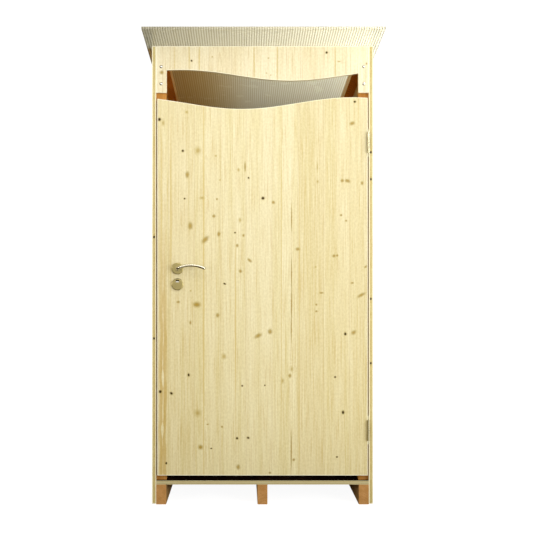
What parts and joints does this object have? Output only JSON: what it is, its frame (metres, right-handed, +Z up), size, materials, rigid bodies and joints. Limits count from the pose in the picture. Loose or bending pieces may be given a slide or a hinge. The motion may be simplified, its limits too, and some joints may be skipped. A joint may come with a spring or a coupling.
{
  "type": "wooden outhouse",
  "caption": "Small wooden toilet cabin of spruce panels on runners, with a wave-topped door, a wave-cut lintel and a sloping twin-wall sheet roof.",
  "frame": {"origin": "on the ground under the middle of the cabin's footprint, on the middle runner's underside", "axes": "+Z up, +X to the right as seen from the door side, +Y to the back; the door faces -Y"},
  "size_m": [1.05, 1.558, 2.1058],
  "materials": {
    "spruce_board": "clear satin",
    "film_plywood": "dark film on both faces, bare ply edges",
    "sawn_timber": "planed, unfinished",
    "twin_wall_sheet": "translucent, ribbed",
    "satin_steel": "satin",
    "bright_steel": "bright",
    "indicator_white": "smooth"
  },
  "bodies": {
    "cabin": {"runner_left": "sawn_timber", "runner_middle": "sawn_timber", "runner_right": "sawn_timber", "floor_panel": "film_plywood", "side_panel_left": "spruce_board", "side_panel_right": "spruce_board", "back_panel": "spruce_board", "lintel_panel": "spruce_board", "lintel_bolts": "bright_steel", "front_post_left": "sawn_timber", "front_post_right": "sawn_timber", "back_post_left": "sawn_timber", "back_post_right": "sawn_timber", "roof_batten_left": "sawn_timber", "roof_batten_right": "sawn_timber", "roof_batten_front": "sawn_timber", "roof_batten_back": "sawn_timber", "roof_sheet": "twin_wall_sheet", "roof_screws": "bright_steel", "strike_plate": "satin_steel", "lower_hinge_frame_leaf": "satin_steel", "upper_hinge_frame_leaf": "satin_steel", "lower_hinge_pin": "satin_steel", "upper_hinge_pin": "satin_steel"},
    "door": {"door_panel": "spruce_board", "lower_hinge_door_leaf": "satin_steel", "upper_hinge_door_leaf": "satin_steel", "lock_case": "satin_steel", "handle_rose_outside": "satin_steel", "handle_rose_inside": "satin_steel", "lock_rose_outside": "satin_steel", "lock_rose_inside": "satin_steel"},
    "lever": {"lever_outside": "satin_steel", "lever_inside": "satin_steel", "handle_spindle": "satin_steel"},
    "privacy_turn": {"privacy_shaft": "satin_steel", "indicator_disc": "indicator_white", "thumb_turn": "satin_steel"}
  },
  "joints": [
    {"name": "door_hinge", "type": "hinge", "parent": "cabin", "child": "door", "pos_m": [0.47825, -0.6373, 0], "axis": [0, 0, 1], "range_deg": [0, 170]},
    {"name": "lever_turn", "type": "hinge", "parent": "door", "child": "lever", "pos_m": [-0.3842, -0.63, 1.067], "axis": [0, 1, 0], "range_deg": [0, 38], "stiffness_Nm_per_rad": 1.2, "springref_deg": -34.38},
    {"name": "privacy_lock", "type": "hinge", "parent": "door", "child": "privacy_turn", "pos_m": [-0.3842, -0.63, 0.995], "axis": [0, 1, 0], "range_deg": [0, 90]}
  ]
}
